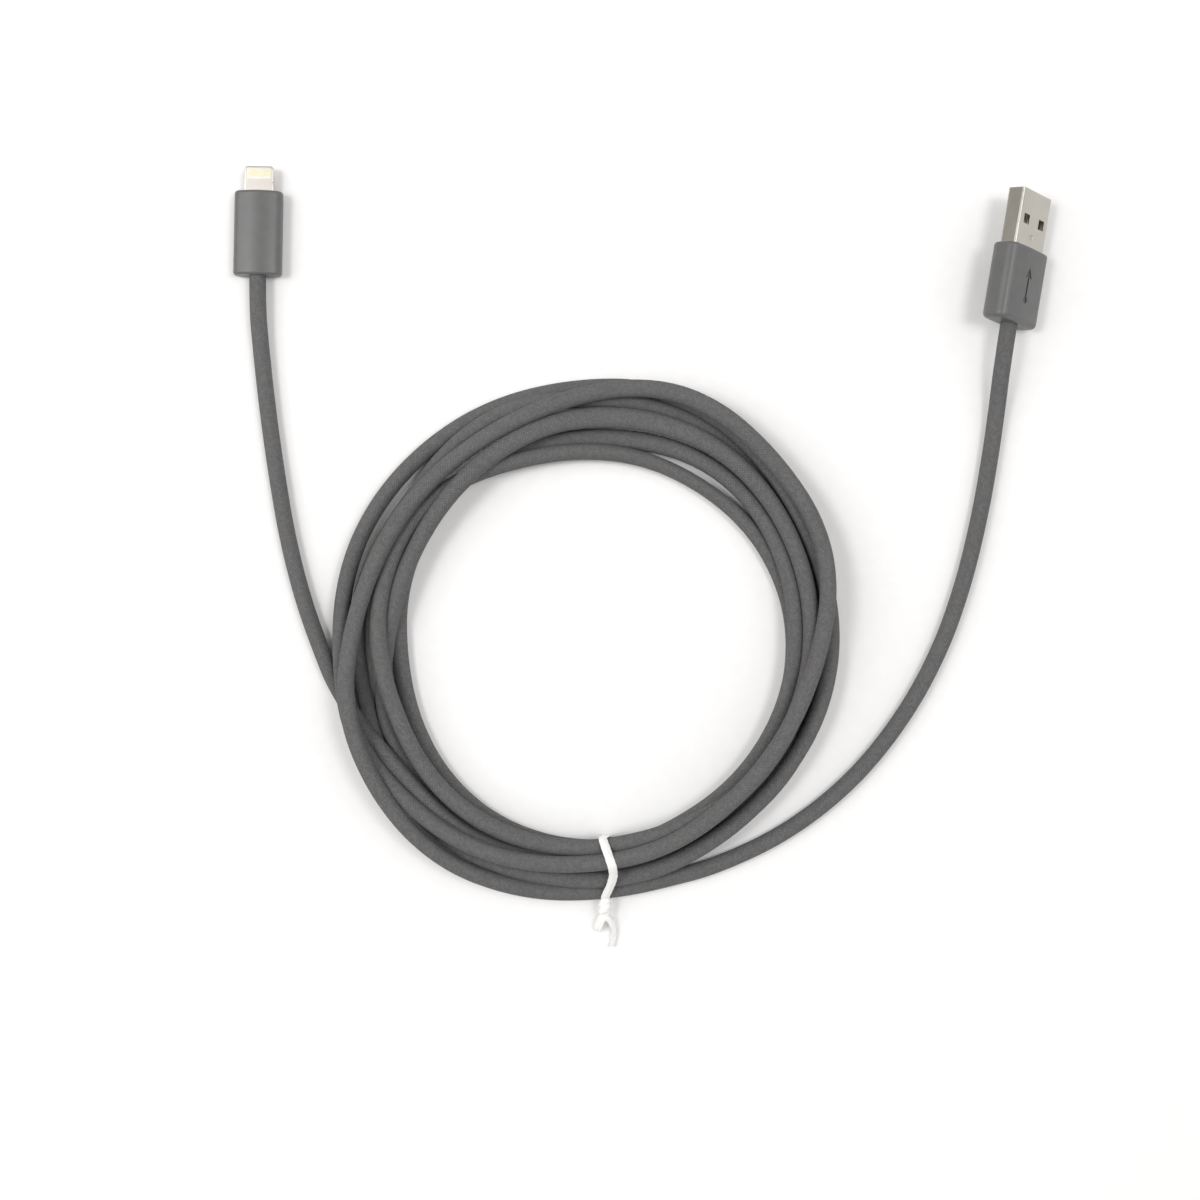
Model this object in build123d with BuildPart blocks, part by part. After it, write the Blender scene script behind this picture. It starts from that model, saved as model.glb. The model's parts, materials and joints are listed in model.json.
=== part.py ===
from build123d import *
import os
from math import atan2, cos, degrees, pi, radians, sin, sqrt, tan

# A charging cable in a loose round coil that a twist tie holds: a USB-A plug on one end, a reversible
# eight-contact tab plug on the other. Millimetres. The coil's centre is the origin, on the surface
# that the cable lies on, +Z up, and the plugs lie towards +Y. A plug's own frame has z along the plug
# towards its tip, from 0 at the housing's rear, x across its width, and -y out of its marked face.

os.makedirs("parts", exist_ok=True)

# ---- driving dimensions ----
CORD_D = 4.0
CORD_R = CORD_D / 2
WIRE_D = 0.9
CONDUCTORS = ("red", "white", "green", "black")

# USB-A plug
USB_EXIT = (100.2, 75.2)
USB_HEADING = 9.5          # degrees clockwise from +Y
USB_ROLL = 43.8            # degrees about its own axis, its +x side down
USB_HOUSING_W = 15.5
USB_HOUSING_T = 7.5
USB_HOUSING_L = 18.0
USB_CROWN = 60.0
USB_CORNER = 2.4
USB_REAR_ROUND = 1.2
USB_FRONT_ROUND = 0.6
MARK_X = -0.5              # the arrow's middle across the marked face
MARK_DEPTH = 0.22
MARK_STEM_W = 0.6
MARK_STEM_L = 6.4
MARK_FOOT_R = 0.8
MARK_FOOT_FROM_MIDDLE = 3.4
MARK_HEAD_W = 2.6
MARK_HEAD_START = 1.8      # from the arrow's middle
MARK_TIP = 4.2
SHELL_W = 12.0
SHELL_T = 4.5
SHELL_WALL = 0.3
SHELL_L = 19.3
SHELL_START = 12.0         # the shell's rear edge, inside the housing
SHELL_TIP = SHELL_START + SHELL_L
WINDOW_W = 2.2
WINDOW_L = 2.3
WINDOW_PITCH = 6.2
WINDOW_FROM_TIP = 6.9
DIMPLE_FROM_TIP = 10.6
DIMPLE_R = 1.2             # the dimple is a shallow cap of this sphere
DIMPLE_DEPTH = 0.22
CONTACT_X = (-3.5, -1.0, 1.0, 3.5)
CONTACT_NAMES = ("power", "data_minus", "data_plus", "ground")
CONTACT_LONG = 29.3
CONTACT_SHORT = 28.3

# eight-contact tab plug
TAB_EXIT = (-79.35, 87.26)
TAB_HEADING = 1.1
TAB_HOUSING_W = 11.6
TAB_HOUSING_T = 6.0
TAB_HOUSING_L = 20.2
TAB_CROWN = 14.0
TAB_CORNER = 2.2
TAB_W = 7.0
TAB_T = 1.5
TAB_START = 15.2
TAB_TIP = 26.3
TAB_SLOT_W = 5.8
TAB_SLOT_T = 0.8
PAD_COUNT = 8
PAD_PITCH = 0.7
PAD_W = 0.46
PAD_L = 1.6

# coil and tie
COIL_H = 9.8
COIL_OUTER = (60.3, 63.0, 64.8, 62.1, 61.6, 62.4, 60.9, 63.3, 64.9, 62.5, 58.6, 59.2)
COIL_INNER = (47.8, 45.7, 43.6, 43.0, 45.4, 44.9, 43.8, 44.5, 47.2, 47.9, 47.2, 47.5)
TIE_X = 4.6
TIE_W = 2.1
TIE_T = 0.8
TIE_OUTER_Y = -63.4
TIE_INNER_Y = -46.4
TIE_CORNER = 3.6
TIE_WIRE_D = 0.45
TIE_KNOT_Z = 4.0
TIE_TIPS = ((2.3, -70.2, 1.2), (5.9, -74.3, 1.0))

# Routes of the two free stretches of cord, each from inside its plug's housing into the coil
USB_TAIL_END = [
    (98.3, 54.5, 2.3),
    (96.5, 41.5, CORD_R),
    (93.9, 27.5, CORD_R),
    (90.2, 12.5, CORD_R),
    (84.6, -3.2, CORD_R),
    (75.8, -19.2, CORD_R),
    (63.5, -34.4, CORD_R),
    (47.8, -46.7, CORD_R),
    (30.8, -54.6, CORD_R),
    (13.5, -59.2, CORD_R),
]
TAB_TAIL_END = [
    (-78.6, 69.0, 2.1),
    (-77.1, 55.0, CORD_R),
    (-75.0, 40.0, CORD_R),
    (-72.4, 24.5, CORD_R),
    (-68.5, 9.0, CORD_R),
    (-63.0, -5.7, 2.4),
    (-54.0, -19.4, 4.0),
]


# ---- frames and sections ----
def corner_centre(width, thickness, crown, corner):
    """Centre of a corner arc that is tangent to the side and to the crowned wide face."""
    x = width / 2 - corner
    y = sqrt((crown - corner) ** 2 - x**2) - (crown - thickness / 2)
    return x, y


def plug_frame(exit_point, height, heading, roll):
    """Frame at the rear of a housing, z towards the tip, -y out of the marked face."""
    turn = radians(heading)
    lean = radians(roll)
    forward = Vector(sin(turn), cos(turn), 0)
    right = Vector(cos(turn), -sin(turn), 0)
    across = right * cos(lean) - Vector(0, 0, 1) * sin(lean)
    return Plane(origin=(exit_point[0], exit_point[1], height), x_dir=across, z_dir=forward)


def wide_face(plug, x, y, z):
    """Plane parallel to a plug's wide faces, at a point given in the plug's frame."""
    return Plane(origin=plug.from_local_coords(Vector(x, y, z)), x_dir=plug.x_dir, z_dir=-plug.y_dir)


def crowned_section(width, thickness, crown, corner):
    """Section of a housing: wide faces slightly crowned, corners round. Called inside a BuildSketch."""
    x, y = corner_centre(width, thickness, crown, corner)
    crown_y = thickness / 2 - crown
    tangent = degrees(atan2(y - crown_y, x))
    with BuildLine() as outline:
        Line((width / 2, 0), (width / 2, y))
        CenterArc((x, y), corner, 0, tangent)
        CenterArc((0, crown_y), crown, tangent, 90 - tangent)
        mirror(about=Plane.XZ)
        mirror(about=Plane.YZ)
    make_face(outline.line)


def save(piece, name):
    piece.part.label = name
    export_step(piece.part, f"parts/{name}.step")


def cut(*pieces):
    """Removes finished pieces from the one being built."""
    for piece in pieces:
        add(piece.part, mode=Mode.SUBTRACT)


def along_plug(plug, start, end, width, thickness, radius=0.0, mode=Mode.ADD):
    """A bar along the plug from start to end, centred on its axis."""
    with BuildSketch(plug.offset(start)) as section:
        if radius:
            RectangleRounded(width, thickness, radius)
        else:
            Rectangle(width, thickness)
    extrude(section.sketch, amount=end - start, mode=mode)


def round_along_plug(plug, start, end, radius, mode=Mode.ADD):
    with BuildSketch(plug.offset(start)) as section:
        Circle(radius)
    extrude(section.sketch, amount=end - start, mode=mode)


def block(plug, centre, width, thickness, length, mode=Mode.ADD):
    """A small block in the plug's frame, given by its centre."""
    x, y, z = centre
    with BuildSketch(wide_face(plug, x, y, z)) as section:
        Rectangle(width, length)
    extrude(section.sketch, amount=thickness / 2, both=True, mode=mode)


def wire(plug, start, end):
    """One insulated conductor, straight between two points of the plug's frame."""
    first = plug.from_local_coords(Vector(*start))
    last = plug.from_local_coords(Vector(*end))
    with BuildPart() as conductor:
        with BuildSketch(Plane(origin=first, z_dir=last - first)):
            Circle(WIRE_D / 2)
        extrude(amount=(last - first).length)
    return conductor


usb_corner = corner_centre(USB_HOUSING_W, USB_HOUSING_T, USB_CROWN, USB_CORNER)
usb_lean = radians(USB_ROLL)
usb_height = usb_corner[0] * sin(usb_lean) + usb_corner[1] * cos(usb_lean) + USB_CORNER
USB = plug_frame(USB_EXIT, usb_height, USB_HEADING, USB_ROLL)
TAB = plug_frame(TAB_EXIT, TAB_HOUSING_T / 2, TAB_HEADING, 0)

# ---- USB-A plug ----
USB_MOULD_W = 12.8
USB_MOULD_T = 5.5
USB_MOULD_START = 3.2
USB_CORD_END = 6.4
USB_TAIL_TIP = 10.9        # where the wires meet their solder joints
CARRIER_START = 13.2
TONGUE_START = 19.0
TONGUE_TOP = 0.05          # height of the tongue's contact face, towards +y from the axis
USB_WIRE_START = ((-1.2, 0.3), (-0.45, -0.7), (0.6, -0.6), (1.2, 0.4))

with BuildPart() as usb_shell:
    with BuildSketch(USB.offset(SHELL_START)):
        RectangleRounded(SHELL_W, SHELL_T, 0.55)
        RectangleRounded(SHELL_W - 2 * SHELL_WALL, SHELL_T - 2 * SHELL_WALL, 0.3, mode=Mode.SUBTRACT)
    extrude(amount=SHELL_L)
    for side in (-1, 1):
        window_centre = (side * WINDOW_PITCH / 2, 0, SHELL_TIP - WINDOW_FROM_TIP)
        block(USB, window_centre, WINDOW_W, 2 * SHELL_T, WINDOW_L, mode=Mode.SUBTRACT)
    # a dimple that springs against the socket, and the seam of the folded sheet on the far face
    dimple_centre = Vector(0, -SHELL_T / 2 + DIMPLE_DEPTH - DIMPLE_R, SHELL_TIP - DIMPLE_FROM_TIP)
    with Locations(USB.from_local_coords(dimple_centre)):
        Sphere(DIMPLE_R, mode=Mode.SUBTRACT)
    seam_centre = (0, SHELL_T / 2, SHELL_START + SHELL_L / 2)
    block(USB, seam_centre, 0.1, 0.24, SHELL_L, mode=Mode.SUBTRACT)
save(usb_shell, "usb_shell")

usb_contacts = []
for name, x in zip(CONTACT_NAMES, CONTACT_X):
    contact_end = CONTACT_LONG if name in ("power", "ground") else CONTACT_SHORT
    with BuildPart() as contact:
        middle = (x, TONGUE_TOP + 0.1, (11.2 + contact_end) / 2)
        block(USB, middle, 1.0, 0.3, contact_end - 11.2)
    save(contact, f"usb_contact_{name}")
    usb_contacts.append(contact)

with BuildPart() as usb_contact_carrier:
    inner_w = SHELL_W - 2 * SHELL_WALL
    inner_t = SHELL_T - 2 * SHELL_WALL
    along_plug(USB, CARRIER_START, TONGUE_START, inner_w, inner_t, 0.3)
    tongue_t = inner_t / 2 - TONGUE_TOP
    tongue_middle = (0, TONGUE_TOP + tongue_t / 2, (TONGUE_START + SHELL_TIP - 0.7) / 2)
    block(USB, tongue_middle, inner_w - 0.6, tongue_t, SHELL_TIP - 0.7 - TONGUE_START)
    cut(*usb_contacts)
save(usb_contact_carrier, "usb_contact_carrier")

usb_wires = []
usb_solder_joints = []
for number, colour in enumerate(CONDUCTORS):
    x = CONTACT_X[number]
    start_x, start_y = USB_WIRE_START[number]
    conductor = wire(USB, (start_x, start_y, USB_CORD_END + 0.2), (x, -0.45, USB_TAIL_TIP))
    save(conductor, f"usb_wire_{colour}")
    usb_wires.append(conductor)
    with BuildPart() as joint:
        block(USB, (x, -0.35, 11.7), 1.0, 0.9, 1.9)
        fillet(joint.edges().filter_by(GeomType.LINE), 0.2)
        cut(conductor, usb_contacts[number])
    save(joint, f"usb_solder_{CONTACT_NAMES[number]}")
    usb_solder_joints.append(joint)

with BuildPart() as usb_crimp_collar:
    round_along_plug(USB, 3.8, 6.2, CORD_R + 0.4)
    round_along_plug(USB, 3.8, 6.2, CORD_R, mode=Mode.SUBTRACT)
save(usb_crimp_collar, "usb_crimp_collar")

with BuildPart() as usb_inner_mould:
    along_plug(USB, USB_MOULD_START, SHELL_START, USB_MOULD_W, USB_MOULD_T)
    along_plug(USB, SHELL_START, CARRIER_START, inner_w, inner_t, 0.3)
    round_along_plug(USB, USB_MOULD_START, USB_CORD_END, CORD_R, mode=Mode.SUBTRACT)
    cut(usb_crimp_collar, *usb_wires, *usb_solder_joints, *usb_contacts)
save(usb_inner_mould, "usb_inner_mould")

with BuildPart() as usb_housing:
    with BuildSketch(USB):
        crowned_section(USB_HOUSING_W, USB_HOUSING_T, USB_CROWN, USB_CORNER)
    extrude(amount=USB_HOUSING_L)
    lengthways = usb_housing.faces().sort_by(Axis((0, 0, 0), USB.z_dir))
    fillet(lengthways[0].edges(), USB_REAR_ROUND)
    fillet(lengthways[-1].edges(), USB_FRONT_ROUND)
    round_along_plug(USB, 0, USB_MOULD_START, CORD_R, mode=Mode.SUBTRACT)
    along_plug(USB, USB_MOULD_START, SHELL_START, USB_MOULD_W, USB_MOULD_T, mode=Mode.SUBTRACT)
    along_plug(USB, SHELL_START, USB_HOUSING_L, SHELL_W, SHELL_T, 0.55, mode=Mode.SUBTRACT)
    # plain recessed arrow with a round foot, to show which face goes up
    with BuildSketch(wide_face(USB, MARK_X, -USB_HOUSING_T / 2 + MARK_DEPTH, USB_HOUSING_L / 2)):
        Rectangle(MARK_STEM_W, MARK_STEM_L)
        with Locations((0, -MARK_FOOT_FROM_MIDDLE)):
            Circle(MARK_FOOT_R)
        with BuildLine():
            barb = MARK_HEAD_W / 2
            Polyline((-barb, MARK_HEAD_START), (barb, MARK_HEAD_START), (0, MARK_TIP), close=True)
        make_face()
    extrude(amount=1.0, mode=Mode.SUBTRACT)
save(usb_housing, "usb_housing")

# ---- eight-contact tab plug ----
TAB_MOULD_START = 3.2
TAB_CORD_END = 5.0
BOARD_START = 7.5
BOARD_END = 19.5
CAN_START = 6.6
CAN_END = 15.0
CAN_W = 8.4
CAN_T = 3.9
CAN_WALL = 0.2
WINDOW_START = TAB_TIP - 3.1
WINDOW_END = TAB_TIP - 0.6
PAD_CENTRE = TAB_TIP - 1.6
TAB_WIRE_X = (-1.5, -0.5, 0.5, 1.5)

tab_pads = []
for side, side_name in ((-1, "top"), (1, "bottom")):
    for number in range(PAD_COUNT):
        pad_x = (number - (PAD_COUNT - 1) / 2) * PAD_PITCH
        with BuildPart() as pad:
            block(TAB, (pad_x, side * (TAB_T / 2 - 0.05), PAD_CENTRE), PAD_W, 0.14, PAD_L)
        save(pad, f"tab_pad_{side_name}_{number + 1}")
        tab_pads.append(pad)

with BuildPart() as tab_board:
    along_plug(TAB, BOARD_START, BOARD_END, TAB_SLOT_W, TAB_SLOT_T)
save(tab_board, "tab_board")

with BuildPart() as tab_insulator:
    window_middle = (WINDOW_START + WINDOW_END) / 2
    block(TAB, (0, 0, window_middle), TAB_SLOT_W, TAB_T, WINDOW_END - WINDOW_START)
    along_plug(TAB, BOARD_END, WINDOW_START, TAB_SLOT_W, TAB_SLOT_T)
    cut(*tab_pads)
save(tab_insulator, "tab_insulator")

with BuildPart() as tab_frame:
    frame_middle = (TAB_START + TAB_TIP) / 2
    block(TAB, (0, 0, frame_middle), TAB_W, TAB_T, TAB_TIP - TAB_START)
    tip_edges = tab_frame.edges().filter_by(Axis((0, 0, 0), TAB.y_dir)).sort_by(Axis.Y)[-2:]
    fillet(tip_edges, 0.9)
    fillet(tab_frame.faces().sort_by(Axis((0, 0, 0), TAB.z_dir))[-1].edges(), 0.3)
    along_plug(TAB, TAB_START, BOARD_END, TAB_SLOT_W, TAB_SLOT_T, mode=Mode.SUBTRACT)
    block(TAB, (0, 0, window_middle), TAB_SLOT_W, 2 * TAB_T, WINDOW_END - WINDOW_START, mode=Mode.SUBTRACT)
    along_plug(TAB, BOARD_END, WINDOW_START, TAB_SLOT_W, TAB_SLOT_T, mode=Mode.SUBTRACT)
    # the two notches that the socket's springs click into
    for side in (-1, 1):
        with BuildSketch(wide_face(TAB, side * (TAB_W / 2 + 0.25), 0, TAB_TIP - 4.0)):
            Circle(0.5)
        extrude(amount=TAB_T, both=True, mode=Mode.SUBTRACT)
save(tab_frame, "tab_frame")

with BuildPart() as tab_control_chip:
    block(TAB, (0, -TAB_SLOT_T / 2 - 0.35, 12.4), 3.2, 0.7, 3.6)
save(tab_control_chip, "tab_control_chip")

tab_capacitors = []
for number, z in enumerate((11.2, 13.6)):
    with BuildPart() as capacitor:
        block(TAB, (-1.3 + 2.6 * number, TAB_SLOT_T / 2 + 0.25, z), 0.5, 0.5, 1.0)
    save(capacitor, f"tab_capacitor_{number + 1}")
    tab_capacitors.append(capacitor)

tab_wires = []
tab_solder_joints = []
for number, colour in enumerate(CONDUCTORS):
    side = -1 if number % 2 == 0 else 1
    x = TAB_WIRE_X[number]
    conductor = wire(TAB, (0.8 * x, side * 0.75, TAB_CORD_END), (x, side * 0.9, 8.0))
    save(conductor, f"tab_wire_{colour}")
    tab_wires.append(conductor)
    with BuildPart() as joint:
        block(TAB, (x, side * (TAB_SLOT_T / 2 + 0.4), 8.6), 0.8, 0.8, 1.6)
        cut(conductor)
    save(joint, f"tab_solder_{colour}")
    tab_solder_joints.append(joint)

tab_cans = []
for side, side_name in ((-1, "top"), (1, "bottom")):
    with BuildPart() as can:
        can_middle = (CAN_START + CAN_END) / 2
        can_l = CAN_END - CAN_START
        block(TAB, (0, side * CAN_T / 4, can_middle), CAN_W, CAN_T / 2, can_l)
        inner_h = CAN_T / 2 - CAN_WALL
        inner_middle = (0, side * inner_h / 2, can_middle)
        block(TAB, inner_middle, CAN_W - 2 * CAN_WALL, inner_h, can_l, mode=Mode.SUBTRACT)
    save(can, f"tab_shield_can_{side_name}")
    tab_cans.append(can)

with BuildPart() as tab_crimp_collar:
    round_along_plug(TAB, 3.6, 4.8, CORD_R + 0.25)
    round_along_plug(TAB, 3.6, 4.8, CORD_R, mode=Mode.SUBTRACT)
save(tab_crimp_collar, "tab_crimp_collar")

TAB_MOULD_END = 18.4
TAB_MOULD_W = 8.8
TAB_MOULD_T = 4.6
TAB_MOULD_CORNER = 0.7
with BuildPart() as tab_inner_mould:
    along_plug(TAB, TAB_MOULD_START, TAB_MOULD_END, TAB_MOULD_W, TAB_MOULD_T, TAB_MOULD_CORNER)
    round_along_plug(TAB, TAB_MOULD_START, TAB_CORD_END, CORD_R, mode=Mode.SUBTRACT)
    cut(tab_crimp_collar, tab_board, tab_control_chip, *tab_capacitors, *tab_wires, *tab_solder_joints)
    cut(*tab_cans)
    block(TAB, (0, 0, frame_middle), TAB_W, TAB_T, TAB_TIP - TAB_START, mode=Mode.SUBTRACT)
save(tab_inner_mould, "tab_inner_mould")

with BuildPart() as tab_housing:
    with BuildSketch(TAB):
        crowned_section(TAB_HOUSING_W, TAB_HOUSING_T, TAB_CROWN, TAB_CORNER)
    extrude(amount=TAB_HOUSING_L)
    ends = tab_housing.faces().filter_by(Plane(origin=(0, 0, 0), z_dir=TAB.z_dir))
    fillet(ends.edges(), 0.7)
    round_along_plug(TAB, 0, TAB_MOULD_START, CORD_R, mode=Mode.SUBTRACT)
    along_plug(
        TAB, TAB_MOULD_START, TAB_MOULD_END, TAB_MOULD_W, TAB_MOULD_T, TAB_MOULD_CORNER, mode=Mode.SUBTRACT
    )
    along_plug(TAB, TAB_MOULD_END, TAB_HOUSING_L, TAB_W, TAB_T, mode=Mode.SUBTRACT)
save(tab_housing, "tab_housing")


# ---- cord ----
def arc_radii(route):
    """One radius for each corner: 0.45 of the shorter run, over the tangent of half the turn."""
    points = [Vector(*point) for point in route]
    radii = []
    for before, corner, after in zip(points, points[1:], points[2:]):
        turn = (corner - before).get_angle(after - corner)
        shorter = min((corner - before).length, (after - corner).length)
        radii.append(0.45 * shorter / tan(radians(turn / 2)))
    return radii


def cord_stretch(name, route):
    radii = arc_radii(route)
    with BuildPart() as stretch:
        with BuildLine() as path:
            FilletPolyline(*route, radius=radii)
        with BuildSketch(Plane(origin=path.line @ 0, z_dir=path.line % 0)):
            Circle(CORD_R)
        sweep()
    save(stretch, name)
    section_volume = pi * CORD_R**2 * path.wire().length
    print(name, "radii", [round(radius) for radius in radii], "length", round(path.wire().length, 1))
    print(name, "volume", round(stretch.part.volume, 1), "section x length", round(section_volume, 1))
    return stretch


def plug_axis_point(plug, z):
    return tuple(plug.from_local_coords(Vector(0, 0, z)))


usb_route = [plug_axis_point(USB, USB_CORD_END), plug_axis_point(USB, -8.0), *USB_TAIL_END]
tab_route = [plug_axis_point(TAB, TAB_CORD_END), plug_axis_point(TAB, -7.0), *TAB_TAIL_END]
cord_stretch("cord_usb_tail", usb_route)
cord_stretch("cord_tab_tail", tab_route)

# ---- twist tie ----
loop_w = TIE_INNER_Y - TIE_OUTER_Y
loop_h = COIL_H + TIE_T
loop_y = (TIE_INNER_Y + TIE_OUTER_Y) / 2
loop_z = loop_h / 2
knot_start = Vector(TIE_X, TIE_OUTER_Y + TIE_T / 2, TIE_KNOT_Z)

with BuildPart() as tie_wire:
    half_w = (loop_w - TIE_T) / 2
    half_h = (loop_h - TIE_T) / 2
    loop_corners = [
        (TIE_X, loop_y - half_w, loop_z - half_h),
        (TIE_X, loop_y + half_w, loop_z - half_h),
        (TIE_X, loop_y + half_w, loop_z + half_h),
        (TIE_X, loop_y - half_w, loop_z + half_h),
    ]
    with BuildLine() as loop:
        FilletPolyline(*loop_corners, radius=TIE_CORNER - TIE_T / 2, close=True)
    with BuildSketch(Plane(origin=loop.line @ 0, z_dir=loop.line % 0)):
        Circle(TIE_WIRE_D / 2)
    sweep()
    for tip in TIE_TIPS:
        reach = Vector(*tip) - knot_start
        with BuildSketch(Plane(origin=knot_start, z_dir=reach)):
            Circle(TIE_WIRE_D / 2)
        extrude(amount=reach.length + 0.2)
save(tie_wire, "tie_wire")

with BuildPart() as tie_jacket:
    with BuildSketch(Plane.YZ.offset(TIE_X - TIE_W / 2)):
        with Locations((loop_y, loop_z)):
            RectangleRounded(loop_w, loop_h, TIE_CORNER)
            inner_radius = TIE_CORNER - TIE_T
            RectangleRounded(loop_w - 2 * TIE_T, loop_h - 2 * TIE_T, inner_radius, mode=Mode.SUBTRACT)
    extrude(amount=TIE_W)
    with BuildSketch(Plane(origin=knot_start, z_dir=(0, -1, 0))):
        Circle(1.4)
    extrude(amount=3.0)
    for tip in TIE_TIPS:
        reach = Vector(*tip) - knot_start
        level = Vector(0, 0, 1).cross(reach)
        with BuildSketch(Plane(origin=knot_start, x_dir=level, z_dir=reach)):
            Rectangle(TIE_W, TIE_T)
        extrude(amount=reach.length)
    cut(tie_wire)
save(tie_jacket, "tie_jacket")


# ---- coil ----
def ring_outline(radii):
    """Closed smooth outline through compass radii, one every twelfth of a turn from +X."""
    step = 360 / len(radii)
    points = []
    for number, radius in enumerate(radii):
        angle = radians(number * step)
        points.append((radius * cos(angle), radius * sin(angle)))
    with BuildLine() as outline:
        Spline(*points, periodic=True)
    make_face(outline.line)


with BuildPart() as cord_coil:
    with BuildSketch() as outer:
        ring_outline(COIL_OUTER)
    extrude(amount=COIL_H)
    with BuildSketch() as inner:
        ring_outline(COIL_INNER)
    extrude(amount=COIL_H, mode=Mode.SUBTRACT)
    fillet(cord_coil.edges().filter_by(Plane.XY), 3.0)
    cut(tie_jacket, tie_wire)
save(cord_coil, "cord_coil")
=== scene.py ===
import json
from math import cos, pi, radians, sin

import bpy
import numpy as np
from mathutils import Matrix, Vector


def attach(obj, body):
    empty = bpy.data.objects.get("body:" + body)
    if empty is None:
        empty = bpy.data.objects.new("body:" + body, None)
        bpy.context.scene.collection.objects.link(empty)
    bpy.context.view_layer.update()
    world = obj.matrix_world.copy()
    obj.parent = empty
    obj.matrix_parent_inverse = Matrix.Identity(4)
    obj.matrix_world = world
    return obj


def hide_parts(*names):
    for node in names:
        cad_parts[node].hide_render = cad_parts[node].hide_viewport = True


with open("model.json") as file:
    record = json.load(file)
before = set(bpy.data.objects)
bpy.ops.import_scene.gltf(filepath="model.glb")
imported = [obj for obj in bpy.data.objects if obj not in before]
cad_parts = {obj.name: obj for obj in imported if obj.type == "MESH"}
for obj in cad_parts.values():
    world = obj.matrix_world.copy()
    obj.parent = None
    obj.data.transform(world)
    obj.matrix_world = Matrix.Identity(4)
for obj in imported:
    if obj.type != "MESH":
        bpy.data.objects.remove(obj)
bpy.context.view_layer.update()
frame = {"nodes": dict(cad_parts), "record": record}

# Sizes and places are in mm and degrees, in the part's own frame, unless a comment says otherwise
MM = 0.001
CORD_D = 4.0
CORD_R = CORD_D / 2
USB_EXIT = (100.2, 75.2, 6.898)
USB_HEADING = 9.5               # clockwise from +Y
USB_ROLL = 43.8                 # about the plug's own axis

# ---- camera: straight above, a little up and to the right of the coil's centre ----
CAMERA_AT = (2.9, 9.44, 425.0)
CAMERA_LENS = 52.7
CAMERA_SENSOR = 36.0
CAMERA_NEAREST = 10.0

camera_data = bpy.data.cameras.new("camera")
camera_data.lens = CAMERA_LENS
camera_data.sensor_width = CAMERA_SENSOR
camera_data.clip_start = CAMERA_NEAREST * MM
camera = bpy.data.objects.new("camera", camera_data)
camera.location = Vector(CAMERA_AT) * MM
bpy.context.scene.collection.objects.link(camera)
bpy.context.scene.camera = camera

# ---- cord: the two free stretches, as in the part's source ----
USB_TAIL = [
    (101.256, 81.512, USB_EXIT[2]),
    (98.880, 67.310, USB_EXIT[2]),
    (98.3, 54.5, 2.3),
    (96.5, 41.5, CORD_R),
    (93.9, 27.5, CORD_R),
    (90.2, 12.5, CORD_R),
    (84.6, -3.2, CORD_R),
    (75.8, -19.2, CORD_R),
    (63.5, -34.4, CORD_R),
    (47.8, -46.7, CORD_R),
    (30.8, -54.6, CORD_R),
]
TAB_TAIL = [
    (-79.254, 92.259, 3.0),
    (-79.484, 80.261, 3.0),
    (-78.6, 69.0, 2.1),
    (-77.1, 55.0, CORD_R),
    (-75.0, 40.0, CORD_R),
    (-72.4, 24.5, CORD_R),
    (-68.5, 9.0, CORD_R),
    (-63.0, -5.7, 2.4),
]

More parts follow.
